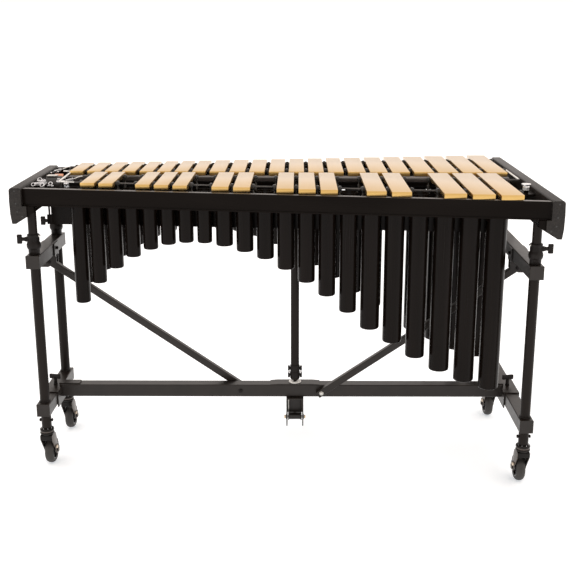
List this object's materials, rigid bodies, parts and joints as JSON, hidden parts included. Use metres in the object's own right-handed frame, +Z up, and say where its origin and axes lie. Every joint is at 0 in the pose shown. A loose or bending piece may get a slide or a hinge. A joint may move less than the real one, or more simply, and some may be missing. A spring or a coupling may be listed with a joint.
{
  "type": "vibraphone",
  "caption": "Concert vibraphone with gold bars over black resonator tubes, on a height-adjustable wheeled stand with a damper pedal.",
  "frame": {"origin": "centre of the footprint, on the floor", "axes": "+X towards the low-note (wide) end, +Y towards the player, +Z up"},
  "size_m": [1.4712, 0.794, 0.8634],
  "materials": {
    "bar_gold": "satin gold anodised",
    "black_steel": "satin",
    "black_tube": "satin",
    "chrome": "polished",
    "cord_white": "woven",
    "fan_metal": "plain",
    "felt_dark": "felt",
    "knob_black": "matte",
    "motor_metal": "brushed",
    "panel_black": "textured",
    "post_black": "gloss",
    "rail_black": "satin",
    "resonator_black": "satin anodised",
    "tab_cream": "matte",
    "tyre": "moulded",
    "zinc": "zinc plated"
  },
  "bodies": {
    "stand": {"lower_crossbar_high": "black_steel", "lower_crossbar_low": "black_steel", "upper_crossbar_high": "black_steel", "upper_crossbar_low": "black_steel", "crossbar_caps": "knob_black", "outer_posts": "black_tube", "post_collars": "knob_black", "height_clamps": "knob_black", "long_beam": "black_steel", "beam_saddles": "black_steel", "brace_high": "black_steel", "brace_low": "black_steel", "brace_gussets": "black_steel", "pedal_bracket": "black_steel", "beam_top_plate": "black_steel", "stand_fasteners": "zinc"},
    "upper_frame": {"end_panel_high": "panel_black", "end_panel_low": "panel_black", "front_rail": "rail_black", "rear_rail": "rail_black", "inner_frame": "rail_black", "inner_posts": "black_tube", "natural_bars_low": "bar_gold", "natural_bars_high": "bar_gold", "accidental_bars_low": "bar_gold", "accidental_bars_high": "bar_gold", "cord_posts": "post_black", "bar_cords": "cord_white", "front_resonators": "resonator_black", "rear_resonators": "resonator_black", "resonator_rails": "resonator_black", "vibrato_motor": "motor_metal"},
    "damper": {"damper_bar": "rail_black", "damper_felt": "felt_dark", "upper_rod": "black_tube"},
    "rod": {"lower_rod": "black_tube", "rod_clamp": "knob_black"},
    "pedal": {"damper_pedal": "black_steel"},
    "fan_front": {"vibrato_fan_front": "fan_metal"},
    "fan_rear": {"vibrato_fan_rear": "fan_metal"},
    "pulley": {"motor_pulley": "chrome"},
    "damper_adjust": {"damper_knob": "chrome"},
    "beam_knob_high": {"beam_knob_high": "knob_black"},
    "beam_knob_low": {"beam_knob_low": "knob_black"},
    "knob_high_front": {"height_knob_high_front": "knob_black"},
    "knob_high_back": {"height_knob_high_back": "knob_black"},
    "knob_low_front": {"height_knob_low_front": "knob_black"},
    "knob_low_back": {"height_knob_low_back": "knob_black"},
    "caster_high_front": {"caster_fork_high_front": "black_steel"},
    "wheel_high_front": {"caster_wheel_high_front": "tyre"},
    "brake_high_front": {"caster_brake_high_front": "tab_cream"},
    "caster_high_back": {"caster_fork_high_back": "black_steel"},
    "wheel_high_back": {"caster_wheel_high_back": "tyre"},
    "brake_high_back": {"caster_brake_high_back": "tab_cream"},
    "caster_low_front": {"caster_fork_low_front": "black_steel"},
    "wheel_low_front": {"caster_wheel_low_front": "tyre"},
    "brake_low_front": {"caster_brake_low_front": "tab_cream"},
    "caster_low_back": {"caster_fork_low_back": "black_steel"},
    "wheel_low_back": {"caster_wheel_low_back": "tyre"},
    "brake_low_back": {"caster_brake_low_back": "tab_cream"}
  },
  "joints": [
    {"name": "height_adjust", "type": "slide", "parent": "stand", "child": "upper_frame", "axis": [0, 0, 1], "range_m": [0, 0.1]},
    {"name": "height_knob_high_front", "type": "hinge", "parent": "stand", "child": "knob_high_front", "pos_m": [-0.7186, -0.1286, 0.6947], "axis": [-1, 0, 0], "range_deg": [-120, 120]},
    {"name": "height_knob_high_back", "type": "hinge", "parent": "stand", "child": "knob_high_back", "pos_m": [-0.7186, 0.1286, 0.6947], "axis": [-1, 0, 0], "range_deg": [-120, 120]},
    {"name": "height_knob_low_front", "type": "hinge", "parent": "stand", "child": "knob_low_front", "pos_m": [0.7186, -0.2384, 0.6947], "axis": [1, 0, 0], "range_deg": [-120, 120]},
    {"name": "height_knob_low_back", "type": "hinge", "parent": "stand", "child": "knob_low_back", "pos_m": [0.7186, 0.2384, 0.6947], "axis": [1, 0, 0], "range_deg": [-120, 120]},
    {"name": "beam_knob_turn_high", "type": "hinge", "parent": "stand", "child": "beam_knob_high", "pos_m": [-0.6896, 0, 0.2325], "axis": [0, 0, 1], "range_deg": [-170, 170]},
    {"name": "beam_knob_turn_low", "type": "hinge", "parent": "stand", "child": "beam_knob_low", "pos_m": [0.6896, 0, 0.2325], "axis": [0, 0, 1], "range_deg": [-170, 170]},
    {"name": "swivel_high_front", "type": "hinge", "parent": "stand", "child": "caster_high_front", "pos_m": [-0.6896, -0.1286, 0.115], "axis": [0, 0, 1], "continuous": true},
    {"name": "roll_high_front", "type": "hinge", "parent": "caster_high_front", "child": "wheel_high_front", "pos_m": [-0.6896, -0.0926, 0.04], "axis": [1, 0, 0], "continuous": true},
    {"name": "brake_lever_high_front", "type": "hinge", "parent": "caster_high_front", "child": "brake_high_front", "pos_m": [-0.6896, -0.0926, 0.04], "axis": [1, 0, 0], "range_deg": [0, 25]},
    {"name": "swivel_high_back", "type": "hinge", "parent": "stand", "child": "caster_high_back", "pos_m": [-0.6896, 0.1286, 0.115], "axis": [0, 0, 1], "continuous": true},
    {"name": "roll_high_back", "type": "hinge", "parent": "caster_high_back", "child": "wheel_high_back", "pos_m": [-0.6896, 0.1646, 0.04], "axis": [1, 0, 0], "continuous": true},
    {"name": "brake_lever_high_back", "type": "hinge", "parent": "caster_high_back", "child": "brake_high_back", "pos_m": [-0.6896, 0.1646, 0.04], "axis": [1, 0, 0], "range_deg": [0, 25]},
    {"name": "swivel_low_front", "type": "hinge", "parent": "stand", "child": "caster_low_front", "pos_m": [0.6896, -0.2384, 0.115], "axis": [0, 0, 1], "continuous": true},
    {"name": "roll_low_front", "type": "hinge", "parent": "caster_low_front", "child": "wheel_low_front", "pos_m": [0.6896, -0.2024, 0.04], "axis": [1, 0, 0], "continuous": true},
    {"name": "brake_lever_low_front", "type": "hinge", "parent": "caster_low_front", "child": "brake_low_front", "pos_m": [0.6896, -0.2024, 0.04], "axis": [1, 0, 0], "range_deg": [0, 25]},
    {"name": "swivel_low_back", "type": "hinge", "parent": "stand", "child": "caster_low_back", "pos_m": [0.6896, 0.2384, 0.115], "axis": [0, 0, 1], "continuous": true},
    {"name": "roll_low_back", "type": "hinge", "parent": "caster_low_back", "child": "wheel_low_back", "pos_m": [0.6896, 0.2744, 0.04], "axis": [1, 0, 0], "continuous": true},
    {"name": "brake_lever_low_back", "type": "hinge", "parent": "caster_low_back", "child": "brake_low_back", "pos_m": [0.6896, 0.2744, 0.04], "axis": [1, 0, 0], "range_deg": [0, 25]},
    {"name": "pedal_press", "type": "hinge", "parent": "stand", "child": "pedal", "pos_m": [0.0419, -0.022, 0.116], "axis": [1, 0, 0], "range_deg": [-12, 0], "stiffness_Nm_per_rad": 12, "springref_deg": 22},
    {"name": "rod_travel", "type": "slide", "parent": "stand", "child": "rod", "axis": [0, 0, 1], "range_m": [-0.00461, 0]},
    {"name": "damper_travel", "type": "slide", "parent": "upper_frame", "child": "damper", "axis": [0, 0, 1], "range_m": [-0.00461, 0]},
    {"name": "fan_front_spin", "type": "hinge", "parent": "upper_frame", "child": "fan_front", "pos_m": [0, -0.13646, 0.811], "axis": [0.9958, -0.0918, 0], "continuous": true},
    {"name": "fan_rear_spin", "type": "hinge", "parent": "upper_frame", "child": "fan_rear", "pos_m": [0, 0.145, 0.811], "axis": [0.9981, 0.062, 0], "continuous": true},
    {"name": "motor_spin", "type": "hinge", "parent": "upper_frame", "child": "pulley", "pos_m": [-0.6265, 0.014, 0.8265], "axis": [1, 0, 0], "continuous": true},
    {"name": "damper_knob_turn", "type": "hinge", "parent": "upper_frame", "child": "damper_adjust", "pos_m": [0.664, -0.188, 0.85], "axis": [0, 0, 1], "range_deg": [-170, 170]}
  ],
  "couplings": [
    {"joint": "rod_travel", "follows": "pedal_press", "m_per_rad": 0.022},
    {"joint": "damper_travel", "follows": "pedal_press", "m_per_rad": 0.022},
    {"joint": "fan_rear_spin", "follows": "fan_front_spin", "ratio": 1},
    {"joint": "motor_spin", "follows": "fan_front_spin", "ratio": 1.8}
  ]
}
